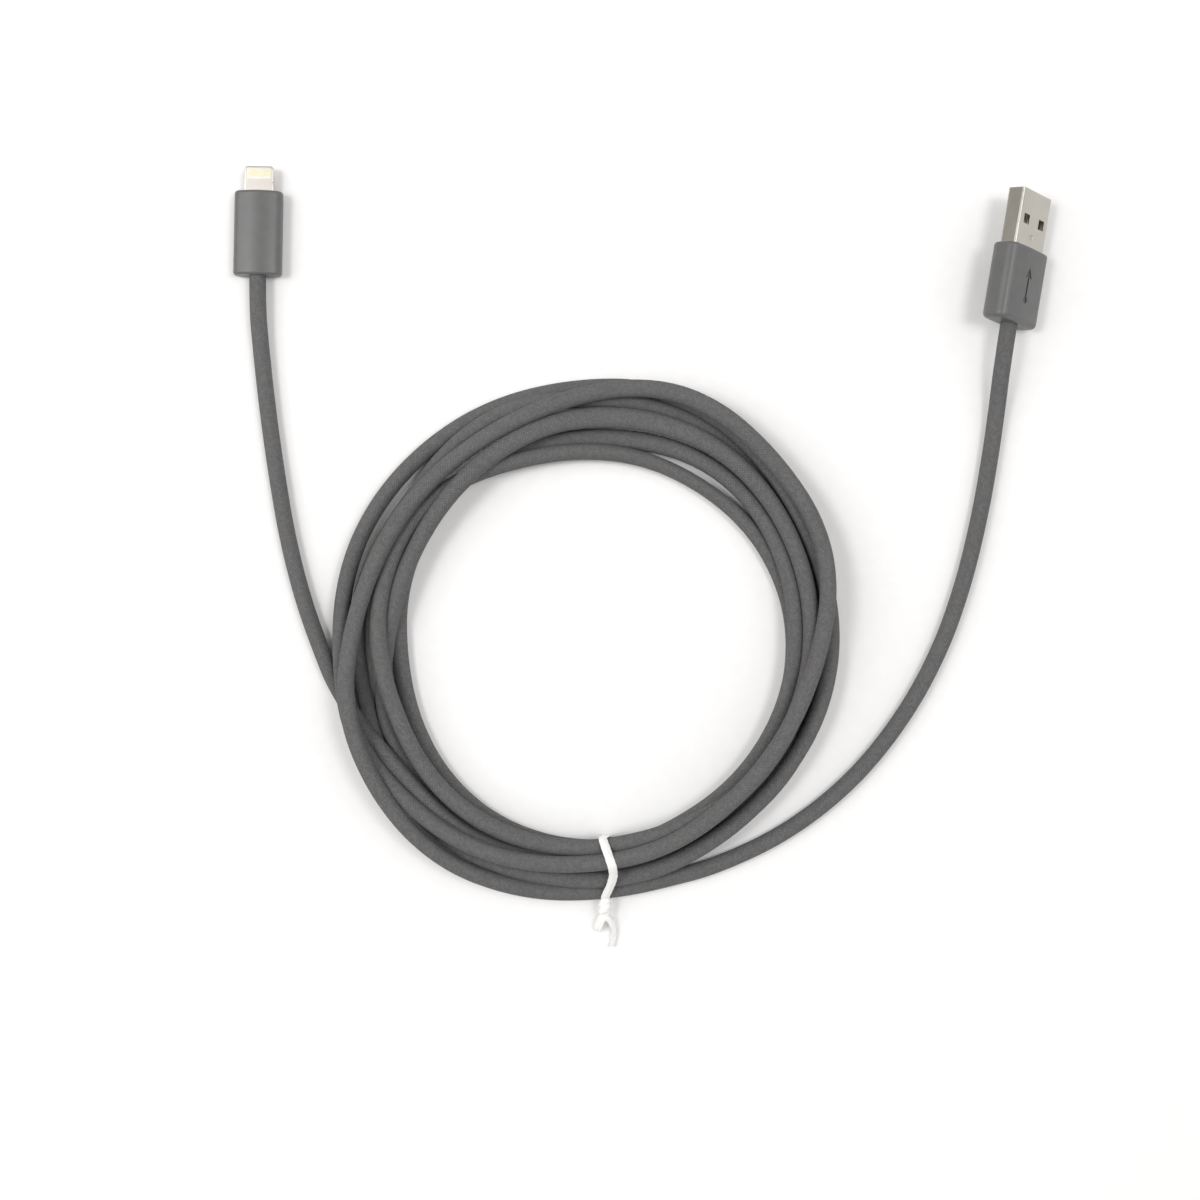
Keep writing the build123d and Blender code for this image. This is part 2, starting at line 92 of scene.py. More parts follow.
# Each turn of the coil from the tab's tail, counter-clockwise: bearing in degrees and radius of the
# cord's middle. Bearings run on past 360 to the next turn's start.
TURNS = [
    [(190, 61.6), (195, 59.6), (205, 56.4), (215, 54.5), (225, 54.7), (240, 55.0), (262, 53.6),
     (275, 51.2), (287, 49.6), (300, 49.1), (315, 49.2), (330, 49.4), (345, 49.7), (360, 49.8),
     (385, 50.6), (405, 51.2), (415, 51.0), (425, 50.3), (430, 49.8), (435, 49.1), (445, 48.4),
     (455, 48.0), (465, 48.0), (475, 48.4), (485, 48.8), (490, 48.7), (497, 48.0), (507, 47.4),
     (520, 46.7), (530, 46.2), (540, 45.7), (547, 45.3)],
    [(205, 46.1), (215, 47.1), (225, 47.9), (240, 49.1), (255, 49.7), (270, 50.1), (315, 50.1),
     (345, 49.9), (360, 49.6), (372, 49.2), (380, 48.6), (390, 47.8), (400, 46.8), (410, 45.9),
     (420, 45.4), (437, 45.2), (450, 45.1), (463, 45.3), (470, 45.7), (475, 46.5), (480, 47.2),
     (485, 48.0), (490, 48.8), (495, 49.5), (500, 50.0), (510, 50.6), (525, 50.3), (540, 49.6),
     (548, 49.2)],
    [(195, 48.6), (205, 48.8), (215, 49.2), (225, 49.8), (235, 50.0), (250, 49.9), (270, 49.4),
     (285, 49.0), (300, 49.5), (310, 51.0), (330, 51.6), (345, 52.3), (360, 52.8), (370, 53.1),
     (380, 53.5), (390, 54.1), (405, 54.9), (418, 55.0), (427, 54.5), (435, 53.9), (445, 53.1),
     (455, 52.6), (465, 51.4), (475, 49.7), (480, 48.9), (490, 47.8), (500, 46.9), (510, 46.4),
     (520, 46.4), (530, 46.9), (538, 47.7), (543, 48.2), (547, 48.5)],
    [(195, 51.6), (200, 52.2), (205, 52.5), (225, 53.4), (270, 54.4), (315, 56.8), (330, 57.4),
     (350, 56.8), (360, 56.0), (380, 56.3), (405, 57.6), (420, 58.4), (435, 58.2), (448, 57.6),
     (457, 57.7), (465, 58.2), (470, 58.2), (480, 57.1), (490, 55.7), (496, 54.2), (505, 54.0),
     (515, 54.5), (525, 55.2), (532, 55.8), (540, 55.7), (547, 55.5)],
    [(195, 55.8), (205, 56.8), (215, 57.8), (225, 59.0), (235, 59.6), (243, 59.5), (250, 58.5),
     (260, 58.0), (270, 57.7), (280, 57.3), (290, 57.0), (300, 56.3), (310, 56.1), (325, 56.3),
     (335, 57.1), (345, 57.7), (360, 58.2), (380, 58.1), (390, 58.3), (405, 59.5), (415, 60.7),
     (426, 61.6), (438, 61.4), (448, 60.3), (460, 59.6), (475, 59.6), (490, 59.6), (505, 59.8),
     (515, 59.9), (525, 59.7), (532, 59.3), (540, 59.0), (547, 59.0)],
    [(195, 59.3), (200, 60.0), (207, 59.6), (213, 58.6), (220, 57.7), (230, 56.8), (240, 56.0),
     (250, 54.9), (260, 53.6), (270, 52.5), (280, 51.9), (290, 51.5), (300, 50.9), (310, 50.5),
     (318, 50.5), (325, 50.8), (335, 51.4), (343, 52.1), (350, 53.1), (355, 53.9), (360, 55.0),
     (365, 56.3), (370, 57.7), (375, 58.9), (380, 59.7), (385, 60.2), (390, 60.6), (400, 60.7),
     (405, 60.9), (410, 61.4), (415, 61.9), (420, 62.4), (426, 62.6), (430, 62.4), (435, 61.7),
     (440, 60.8), (448, 58.7), (452, 57.8), (456, 57.0), (460, 56.0), (465, 55.1), (470, 54.4),
     (475, 53.8), (480, 53.4), (485, 53.1), (490, 53.0), (497, 52.9), (510, 53.0), (520, 53.4),
     (530, 54.4), (540, 55.9), (545, 57.0)],
    [(190, 58.1), (195, 58.9), (200, 59.5), (210, 60.1), (220, 61.0), (228, 61.9), (235, 62.4),
     (243, 62.2), (250, 61.5), (262, 60.7), (270, 60.2), (280, 60.1), (290, 60.7)],
]
# How many strands lie below each stretch of the coil, by bearing
LEVELS = [
    [(190, 0.3), (197, 0.6), (207, 1.0), (225, 1.0), (245, 0.0), (300, 0.2), (330, 1.0), (442, 1.0),
     (464, 0.0), (547, 0.0)],
    [(205, 0.0), (480, 0.0), (505, 1.0), (548, 1.0)],
    [(195, 1.0), (480, 1.0), (510, 0.5), (540, 0.0)],
    [(195, 0.0), (450, 0.0), (462, 1.0), (492, 1.0), (505, 0.0), (547, 0.0)],
    [(195, 0.0), (225, 0.0), (262, 1.0), (315, 1.0), (360, 0.0), (525, 0.0), (547, 1.0)],
    [(195, 1.3), (205, 1.2), (215, 1.5), (240, 1.6), (300, 2.2), (545, 2.2)],
    [(190, 2.6), (210, 2.4), (225, 2.0), (262, 0.0), (290, 0.0)],
]
# Where the soft cord is pressed wider or narrower than round: turn, bearing, width, reach in degrees
PRESSED = [(0, 440, 1.12, 16), (2, 447, 1.24, 22), (1, 412, 0.88, 18), (5, 420, 1.08, 18)]
STEPS_PER_TURN = 36
STEP = 360 / STEPS_PER_TURN
COIL_START = 190.0
COIL_END = 6 * 360 + 290.0
TAB_TAIL_BEARING = 185.0        # where the tab's tail runs into the coil
RADIUS_SMOOTHING = 2.0
LEVEL_SMOOTHING = 8.0

# The tie's far side lifts the cord off the table. The lift ends at LIFT_SPAN times LIFT_REACH degrees
# from the tie, and is whole up to one reach less.
TIE_BEARING = 275.0
TIE_LIFT = 0.95
LIFT_REACH = 9.0
LIFT_SPAN = 1.6

# How the turns settle
SETTLE_ROUNDS = 1500
SINK = 0.015                    # how far every point sinks in a round
EASE = 0.10                     # share of a bend, or of a drift off its radius, that a round takes out
PUSH = 0.45                     # share of an overlap that each of the two strands gives way by
PUSH_SIDEWAYS = 0.5
LEAST_PUSH_UP = 0.3
NO_GAP = 1e-6

SPLINE_STEPS = 10               # points of the traced line for each control point
CORD_SIDES = 20


def unrolled(table):
    """Bearings and values of all turns as two rising rows."""
    bearings = []
    values = []
    for number, turn in enumerate(table):
        for bearing, value in turn:
            bearings.append(bearing + 360 * number)
            values.append(value)
    return np.array(bearings, float), np.array(values, float)


def smoothed(values, width):
    """Each value averaged with its neighbours by a bell-shaped weight."""
    reach = int(3 * width)
    weights = np.exp(-0.5 * (np.arange(-reach, reach + 1) / width) ** 2)
    weights /= weights.sum()
    padded = np.pad(values, reach, mode="reflect", reflect_type="odd")
    return np.convolve(padded, weights, mode="valid")


def pressed(bearings):
    """How much wider than round the cord is at each bearing."""
    widths = np.ones(len(bearings))
    for turn, centre, width, reach in PRESSED:
        widths += (width - 1) * np.exp(-0.5 * ((bearings - centre - 360 * turn) / reach) ** 2)
    return widths


def settle(bearings, radii, levels):
    """Lets the turns sink onto each other and the table, a cord's thickness apart."""
    widths = pressed(bearings)
    heights = CORD_R + CORD_D * levels
    target = radii.copy()
    near_tie = np.abs((bearings - TIE_BEARING + 180) % 360 - 180)
    floor = CORD_R / np.minimum(widths, 1) + TIE_LIFT * np.clip(LIFT_SPAN - near_tie / LIFT_REACH, 0, 1)
    for _ in range(SETTLE_ROUNDS):
        heights -= SINK
        radii += EASE * (target - radii)
        heights[1:-1] += EASE * (heights[:-2] + heights[2:] - 2 * heights[1:-1])
        offset = radii - target
        radii[1:-1] += EASE * (offset[:-2] + offset[2:] - 2 * offset[1:-1])
        for turns_apart in range(1, len(TURNS)):
            shift = turns_apart * STEPS_PER_TURN
            if shift >= len(radii):
                break
            across = radii[shift:] - radii[:-shift]
            up = heights[shift:] - heights[:-shift]
            wide = (widths[shift:] + widths[:-shift]) / 2
            gap = np.hypot(across / wide, up * wide)
            push = np.clip(CORD_D - gap, 0, None) * PUSH
            gap = np.maximum(gap, NO_GAP)
            sideways = push * across / gap * PUSH_SIDEWAYS
            upwards = push * np.where(up >= 0, 1, -1) * np.maximum(np.abs(up) / gap, LEAST_PUSH_UP)
            radii[shift:] += sideways
            radii[:-shift] -= sideways
            heights[shift:] += upwards
            heights[:-shift] -= upwards
        heights = np.maximum(heights, floor)
    return radii, heights


def coil_points():
    """Control points of the coil's turns, from the tab's tail to the USB plug's tail."""
    fine = np.arange(COIL_START, COIL_END + 0.5)
    radii = smoothed(np.interp(fine, *unrolled(TURNS)), RADIUS_SMOOTHING)
    levels = smoothed(np.interp(fine, *unrolled(LEVELS)), LEVEL_SMOOTHING)
    bearings = np.arange(COIL_START, COIL_END + 0.5, STEP)
    picked = (bearings - COIL_START).astype(int)
    radii, heights = settle(bearings, radii[picked], levels[picked])
    # a spline of this order runs a little inside its control points
    inset = 1 - (1 - cos(radians(STEP))) / 4
    angles = np.radians(bearings)
    return [(r * cos(a) / inset, r * sin(a) / inset, h) for a, r, h in zip(angles, radii, heights)]


def cord_spline(points):
    """The cord's one open smooth line through its whole route, in metres, with no thickness."""
    data = bpy.data.curves.new("cord_line", "CURVE")
    data.dimensions = "3D"
    data.resolution_u = SPLINE_STEPS
    spline = data.splines.new("NURBS")
    spline.points.add(len(points) - 1)
    for place, point in zip(spline.points, points):
        place.co = (*(Vector(point) * MM), 1.0)
    spline.order_u = 3
    spline.use_endpoint_u = True
    line = bpy.data.objects.new("cord_line", data)
    bpy.context.scene.collection.objects.link(line)
    bpy.context.view_layer.update()
    traced = bpy.data.meshes.new_from_object(line)
    path = np.array([vertex.co for vertex in traced.vertices])
    bpy.data.objects.remove(line)
    bpy.data.meshes.remove(traced)
    return path


def lengths_along(path):
    """How far along the path each of its points lies."""
    return np.concatenate([[0], np.cumsum(np.linalg.norm(np.diff(path, axis=0), axis=1))])


def added(name, mesh):
    """A new object with this mesh, in the scene."""
    made = bpy.data.objects.new(name, mesh)
    bpy.context.scene.collection.objects.link(made)
    return made


def tube(name, path, radius, widths, sides):
    """A tube along a nearly level path, with a UV map: once around, and metres along."""
    tangents = np.gradient(path, axis=0)
    tangents /= np.linalg.norm(tangents, axis=1)[:, None]
    lengths = lengths_along(path)
    sideways = np.cross(tangents, (0, 0, 1))
    sideways /= np.linalg.norm(sideways, axis=1)[:, None]
    upwards = np.cross(sideways, tangents)
    angles = np.arange(sides) * 2 * pi / sides
    rings = path[:, None] + radius * np.cos(angles)[None, :, None] * (sideways * widths[:, None])[:, None]
    rings = rings + radius * np.sin(angles)[None, :, None] * (upwards / widths[:, None])[:, None]
    vertices = rings.reshape(-1, 3)
    faces = []
    corners = []
    for ring in range(len(path) - 1):
        low = lengths[ring]
        high = lengths[ring + 1]
        first = ring * sides
        for number in range(sides):
            after = (number + 1) % sides
            faces.append((first + number, first + after, first + sides + after, first + sides + number))
            left = number / sides
            right = (number + 1) / sides
            corners += [(left, low), (right, low), (right, high), (left, high)]
    faces.append(tuple(range(sides))[::-1])
    faces.append(tuple(range(len(vertices) - sides, len(vertices))))
    corners += [(0.0, 0.0)] * (2 * sides)
    mesh = bpy.data.meshes.new(name)
    mesh.from_pydata(vertices.tolist(), [], faces)
    layer = mesh.uv_layers.new(name="lay")
    layer.data.foreach_set("uv", np.array(corners, float).ravel())
    mesh.polygons.foreach_set("use_smooth", [True] * len(faces))
    return added(name, mesh)


def widths_along(path):
    """The pressed width at each point of the path, told by how far round the coil it is."""
    bearings = np.degrees(np.unwrap(np.arctan2(path[:, 1], path[:, 0])[::-1]))[::-1]
    joining_x, joining_y = TAB_TAIL[-1][:2]
    start = np.argmin(np.abs(path[:, 0] - joining_x * MM) + np.abs(path[:, 1] - joining_y * MM))
    return pressed(bearings - bearings[start] + TAB_TAIL_BEARING)


route = USB_TAIL + coil_points()[::-1] + TAB_TAIL[::-1]
cord_path = cord_spline(route)
cord = tube("cord", cord_path, CORD_R * MM, widths_along(cord_path), CORD_SIDES)
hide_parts("cord_usb_tail", "cord_coil", "cord_tab_tail")
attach(cord, "root")

# ---- floor and light, in metres ----
FLOOR_REACH = 1.5
FLOOR_CORNERS = [(-FLOOR_REACH, -FLOOR_REACH), (FLOOR_REACH, -FLOOR_REACH),
                 (FLOOR_REACH, FLOOR_REACH), (-FLOOR_REACH, FLOOR_REACH)]
# Round softboxes aimed at the origin: place, diameter, power in watts
LIGHTS = {
    "left_softbox": ((-0.85, 0.1, 0.75), 1.0, 6.0),
    "right_softbox": ((0.85, 0.2, 0.80), 1.0, 2.0),
    "overhead_left": ((-0.55, 0.09, 1.08), 0.36, 4.0),
    "overhead_right": ((0.40, 0.09, 1.10), 0.36, 3.7),
}
ROOM_LEFT = (0.33, 0.31, 0.27)
ROOM_RIGHT = (0.93, 0.91, 0.89)
ROOM_STRENGTH = 0.67


def soft_light(name, place, diameter, power):
    """A round softbox that faces the origin."""
    data = bpy.data.lights.new(name, "AREA")
    data.shape = "DISK"
    data.size = diameter
    data.energy = power
    lamp = bpy.data.objects.new(name, data)
    lamp.location = place
    lamp.rotation_euler = (-Vector(place)).to_track_quat("-Z", "Y").to_euler()
    bpy.context.scene.collection.objects.link(lamp)


def room():
    """A plain room around the table, dimmer and warmer on the left."""
    made = bpy.data.worlds.new("world")
    made.use_nodes = True
    nodes, links = made.node_tree.nodes, made.node_tree.links
    direction = nodes.new("ShaderNodeSeparateXYZ")
    links.new(nodes.new("ShaderNodeTexCoord").outputs["Generated"], direction.inputs["Vector"])
    rightness = nodes.new("ShaderNodeMath")
    rightness.operation = "MULTIPLY_ADD"
    rightness.inputs[1].default_value = 0.5
    rightness.inputs[2].default_value = 0.5
    links.new(direction.outputs["X"], rightness.inputs[0])
    tone = nodes.new("ShaderNodeValToRGB")
    tone.color_ramp.elements[0].color = (*ROOM_LEFT, 1)
    tone.color_ramp.elements[1].color = (*ROOM_RIGHT, 1)
    links.new(rightness.outputs[0], tone.inputs["Fac"])
    links.new(tone.outputs["Color"], nodes["Background"].inputs["Color"])
    nodes["Background"].inputs["Strength"].default_value = ROOM_STRENGTH
    return made


floor_mesh = bpy.data.meshes.new("floor")
floor_mesh.from_pydata([(x, y, 0) for x, y in FLOOR_CORNERS], [], [(0, 1, 2, 3)])
floor = added("floor", floor_mesh)

for light_name, (light_place, light_diameter, light_power) in LIGHTS.items():
    soft_light(light_name, light_place, light_diameter, light_power)
bpy.context.scene.world = room()
bpy.context.scene.view_settings.view_transform = "Standard"


# ---- twist tie: a plastic ribbon with a wire down its middle ----
TIE_X = 4.6
TIE_W = 2.1
TIE_WIRE = 0.85
TIE_WING = 0.3
TIE_BEVEL = 0.1
TIE_HOLLOW = 0.15               # from the wire's ridge to the flat wing
# Where the ribbon lies across the upper side of the bundle: y and x
TIE_SLANT = [(-61.6, 4.1), (-58.0, 5.5), (-55.4, 6.1), (-53.0, 5.8), (-50.5, 4.9), (-46.8, 3.5)]
BUNDLE_OUTER = 64.0             # the bundle under the tie ends this far from the coil's middle
LOOP_TURN = 6                   # degrees from one direction of the taut loop to the next
LOOP_STEP = 0.5
KNOT_AT = (4.0, 3.6)            # x and z of the knot's axis
KNOT_RUN = (-62.4, -65.0)       # y where the knot starts and ends
KNOT_R = 1.35
KNOT_TURNS = 1.0
KNOT_POINTS = 13
LEFT_FACING = (-0.35, 0.0, 0.94)
RIGHT_FACING = (0.80, 0.0, 0.60)
LEFT_END = [(3.6, -66.6, 3.3), (2.9, -67.9, 2.6), (2.4, -69.2, 1.8), (2.3, -70.2, 1.2)]
RIGHT_END = [(4.9, -66.8, 3.1), (5.9, -68.4, 2.0), (6.5, -70.4, 1.2), (6.3, -72.6, 0.9), (5.9, -74.3, 0.8)]
RIBBON_STEP = 0.25
LINE_ROUNDS = 12
FACING_ROUNDS = 3
CRINKLE = 0.02
CRINKLE_PACES = (0.9, 0.31)     # radians from one ring of the ribbon to the next


def strands_at(path, x):
    """Where the cord's middle goes through the plane across the tie: y and z, in mm."""
    found = []
    for here, there in zip(path[:-1] / MM, path[1:] / MM):
        if (here[0] - x) * (there[0] - x) < 0 and -BUNDLE_OUTER < here[1] < 0:
            part = (x - here[0]) / (there[0] - here[0])
            found.append(here[1:] + part * (there[1:] - here[1:]))
    return np.array(found)


def resampled(values, lengths, step):
    """The values at even steps along a line, told by the length at each of them."""
    places = np.arange(0, lengths[-1] + step / 2, step)
    return np.column_stack([np.interp(places, lengths, column) for column in values.T])


def eased(values, rounds):
    """The values smoothed along the line, with both ends kept."""
    for _ in range(rounds):
        values = np.vstack([values[:1], (values[:-2] + 2 * values[1:-1] + values[2:]) / 4, values[-1:]])
    return values


def unit(rows):
    """The rows, each scaled to length 1."""
    return rows / np.linalg.norm(rows, axis=1)[:, None]


def taut_loop(strands):
    """A line drawn tight round the strands, in y and z: its points and the directions out of the bundle."""
    bearings = np.radians(np.arange(180, -180, -LOOP_TURN))
    outward = np.column_stack([np.cos(bearings), np.sin(bearings)])
    held = np.argmax(strands @ outward.T, axis=0)
    loop = strands[held] + outward * (CORD_R + TIE_WIRE / 2)
    lengths = lengths_along(loop)
    return resampled(loop, lengths, LOOP_STEP), unit(resampled(outward, lengths, LOOP_STEP))


def knot_strand(start):
    """One of the two strands that wind round each other in the knot: its places and its facings."""
    run = np.linspace(0, 1, KNOT_POINTS)
    angle = start + run * 2 * pi * KNOT_TURNS
    facing = np.column_stack([np.cos(angle), 0 * angle, np.sin(angle)])
    middle = np.column_stack([0 * run + KNOT_AT[0], np.interp(run, (0, 1), KNOT_RUN), 0 * run + KNOT_AT[1]])
    return middle + KNOT_R * facing, facing


def tie_line():
    """The tie's middle and the way its flat side faces, from the left end to the right end."""
    loop, outward = taut_loop(strands_at(cord_path, TIE_X))
    slant = np.interp(loop[:, 0], *zip(*TIE_SLANT))
    xs = np.where(outward[:, 1] > 0, slant, TIE_X)
    first, first_facing = knot_strand(0.0)
    last, last_facing = knot_strand(pi)
    line = [*LEFT_END[::-1], *first[::-1], *np.column_stack([xs, loop]), *last, *RIGHT_END]
    facing = [LEFT_FACING] * len(LEFT_END) + [*first_facing[::-1]]
    facing += [(0, y, z) for y, z in outward]
    facing += [*last_facing] + [RIGHT_FACING] * len(RIGHT_END)
    return np.array(line, dtype=float), np.array(facing, dtype=float)


def ribbon_profile():
    """The ribbon's outline across its length: a wire's ridge between two thin wings."""
    half = TIE_W / 2
    wing = TIE_WING / 2
    ridge = TIE_WIRE / 2
    upper = [(-half, 0), (-half + TIE_BEVEL, wing), (-ridge - TIE_HOLLOW, wing), (-ridge * 0.6, ridge * 0.8),
             (0, ridge), (ridge * 0.6, ridge * 0.8), (ridge + TIE_HOLLOW, wing), (half - TIE_BEVEL, wing),
             (half, 0)]
    return np.array(upper + [(x, -y) for x, y in upper[-2:0:-1]])


def ribbon(name):
    """The tie as one closed ribbon along its line, slightly crinkled."""
    line, facing = tie_line()
    lengths = lengths_along(line)
    facing = eased(resampled(facing, lengths, RIBBON_STEP), FACING_ROUNDS)
    line = eased(resampled(line, lengths, RIBBON_STEP), LINE_ROUNDS)
    tangents = unit(np.gradient(line, axis=0))
    facing = unit(facing - tangents * (facing * tangents).sum(axis=1)[:, None])
    across = np.cross(tangents, facing)
    crinkle = 1 + sum(CRINKLE * np.sin(np.arange(len(line)) * pace) for pace in CRINKLE_PACES)
    profile = ribbon_profile()
    rings = line[:, None] + (profile[:, 0][None, :, None] * crinkle[:, None, None]) * across[:, None]
    rings = rings + profile[:, 1][None, :, None] * facing[:, None]
    count = len(profile)
    last = (len(line) - 1) * count
    faces = [(first + k, first + (k + 1) % count, first + count + (k + 1) % count, first + count + k)
             for first in range(0, last, count) for k in range(count)]
    faces.append(tuple(range(count))[::-1])
    faces.append(tuple(range(last, last + count)))
    mesh = bpy.data.meshes.new(name)
    mesh.from_pydata((rings.reshape(-1, 3) * MM).tolist(), [], faces)
    mesh.shade_smooth()
    mesh.update()
    return added(name, mesh)


tie = ribbon("tie_ribbon")
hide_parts("tie_jacket", "tie_wire")
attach(tie, "root")


# ---- finishes ----
BRAID_YARNS = 16.0
BRAID_PER_METRE = 1270.0
YARN_FILAMENTS = 3
BRAID_DARK = (0.082, 0.082, 0.083)
BRAID_LIGHT = (0.168, 0.166, 0.168)
HOUSING_DARK = (0.112, 0.112, 0.113)
HOUSING_LIGHT = (0.126, 0.126, 0.127)
WIRE_SHADE = 0.8                # the darker tone of a wire's insulation, as a share of the lighter
GRAIN_STRENGTH = 0.6
# The recessed arrow's floor in the plug's own frame, across, along and out: its middle and half its size
MARK_MIDDLE = (-0.5, 9.0, 3.53)
MARK_REACH = (1.8, 5.5, 0.1)
# Painted shade: the dark colour laid on the recessed arrow's floor, standing in for the shade that falls in
# the recess
RECESS_SHADE_TONE = (0.06, 0.06, 0.06)


def shader_of(name, colour, roughness, metallic=0.0):
    """A new material, with its fixed values on the shader's own sockets."""
    made = bpy.data.materials.new(name)
    made.use_nodes = True
    shader = made.node_tree.nodes["Principled BSDF"]
    shader.inputs["Base Color"].default_value = (*colour, 1)
    shader.inputs["Roughness"].default_value = roughness
    shader.inputs["Metallic"].default_value = metallic
    return made, shader


def sums(tree, operation, first, second, third=None):
    """A Math node of two or three terms, each a number or another node's output."""
    node = tree.nodes.new("ShaderNodeMath")
    node.operation = operation
    for socket, term in zip(node.inputs, (first, second, third)):
        if term is None:
            continue
        if isinstance(term, (int, float)):
            socket.default_value = term
        else:
            tree.links.new(term, socket)
    return node.outputs[0]


def noise(tree, size, detail=3.0, stretch=(1, 1, 1)):
    """Noise whose lumps are about size mm across, in the object's own space."""
    mapping = tree.nodes.new("ShaderNodeMapping")
    mapping.inputs["Scale"].default_value = stretch
    tree.links.new(tree.nodes.new("ShaderNodeTexCoord").outputs["Object"], mapping.inputs["Vector"])
    made = tree.nodes.new("ShaderNodeTexNoise")
    made.inputs["Scale"].default_value = 1 / (size * MM)
    made.inputs["Detail"].default_value = detail
    tree.links.new(mapping.outputs[0], made.inputs["Vector"])
    return made.outputs["Fac"]


def ramp(tree, factor, low, high, start=0.3, end=0.7):
    """Colours from low to high as the factor goes from start to end."""
    made = tree.nodes.new("ShaderNodeValToRGB")
    made.color_ramp.elements[0].position = start
    made.color_ramp.elements[1].position = end
    made.color_ramp.elements[0].color = (*low, 1)
    made.color_ramp.elements[1].color = (*high, 1)
    tree.links.new(factor, made.inputs["Fac"])
    return made.outputs["Color"]


def raised(tree, shader, height, depth, strength):
    """Bump from a height, depth in mm."""
    bump = tree.nodes.new("ShaderNodeBump")
    bump.inputs["Distance"].default_value = depth * MM
    bump.inputs["Strength"].default_value = strength
    tree.links.new(height, bump.inputs["Height"])
    tree.links.new(bump.outputs["Normal"], shader.inputs["Normal"])


def grained(name, low, high, roughness, size, depth, metallic=0.0, specular=0.5, uneven=0.06,
            stretch=(1, 1, 1), mottle=3.0):
    """A finish with a fine grain in its surface, slow changes of tone, and uneven gloss."""
    made, shader = shader_of(name, high, roughness, metallic)
    tree = made.node_tree
    tree.links.new(ramp(tree, noise(tree, mottle), low, high), shader.inputs["Base Color"])
    grain = noise(tree, size, 2.0, stretch)
    gloss = sums(tree, "MULTIPLY_ADD", grain, 2 * uneven, roughness - uneven)
    tree.links.new(gloss, shader.inputs["Roughness"])
    shader.inputs["Specular IOR Level"].default_value = specular
    raised(tree, shader, grain, depth, GRAIN_STRENGTH)
    return made


def housing_plastic(name):
    """The housings' smooth grey plastic."""
    return grained(name, HOUSING_DARK, HOUSING_LIGHT, 0.36, 0.10, 0.012, specular=0.45)


def plastic_with_painted_recess_shade(name):
    """The housings' plastic, with painted shade darkening the floor of the recessed arrow of the USB-A
    housing.
    """
    made = housing_plastic(name)
    tree = made.node_tree
    turn, lean = radians(USB_HEADING), radians(USB_ROLL)
    forward = Vector((sin(turn), cos(turn), 0))
    across = Vector((cos(turn), -sin(turn), 0)) * cos(lean) - Vector((0, 0, sin(lean)))
    place = tree.nodes.new("ShaderNodeTexCoord").outputs["Object"]
    inside = 1.0
    for axis, middle, reach in zip((across, forward, across.cross(forward)), MARK_MIDDLE, MARK_REACH):
        along = tree.nodes.new("ShaderNodeVectorMath")
        along.operation = "DOT_PRODUCT"
        along.inputs[1].default_value = axis
        tree.links.new(place, along.inputs[0])
        offset = axis.dot(Vector(USB_EXIT)) + middle
        near = sums(tree, "COMPARE", along.outputs["Value"], offset * MM, reach * MM)
        inside = sums(tree, "MULTIPLY", inside, near)
    # mix in the painted recess shade where the point lies inside the arrow's floor
    tone = tree.nodes.new("ShaderNodeMix")
    tone.data_type = "RGBA"
    from_tone, painted_shade_colour = [socket for socket in tone.inputs if socket.type == "RGBA"]
    colour = tree.nodes["Principled BSDF"].inputs["Base Color"]
    tree.links.new(colour.links[0].from_socket, from_tone)
    painted_shade_colour.default_value = (*RECESS_SHADE_TONE, 1)
    tree.links.new(inside, tone.inputs[0])
    tree.links.new([socket for socket in tone.outputs if socket.type == "RGBA"][0], colour)
    return made


def steel(name, low, high):
    """Plated sheet steel with a faint grain along the plug."""
    return grained(name, low, high, 0.30, 0.25, 0.0006, metallic=1.0, uneven=0.03, stretch=(1, 0.12, 1),
                   mottle=5.0)


def tie_plastic(name):
    """The tie's thin white plastic, slightly wrinkled and slightly see-through."""
    made = grained(name, (0.84, 0.84, 0.83), (0.92, 0.92, 0.91), 0.38, 0.5, 0.05, mottle=1.2)
    shader = made.node_tree.nodes["Principled BSDF"]
    shader.inputs["Subsurface Weight"].default_value = 0.05
    shader.inputs["Subsurface Radius"].default_value = (MM, MM, MM)
    return made


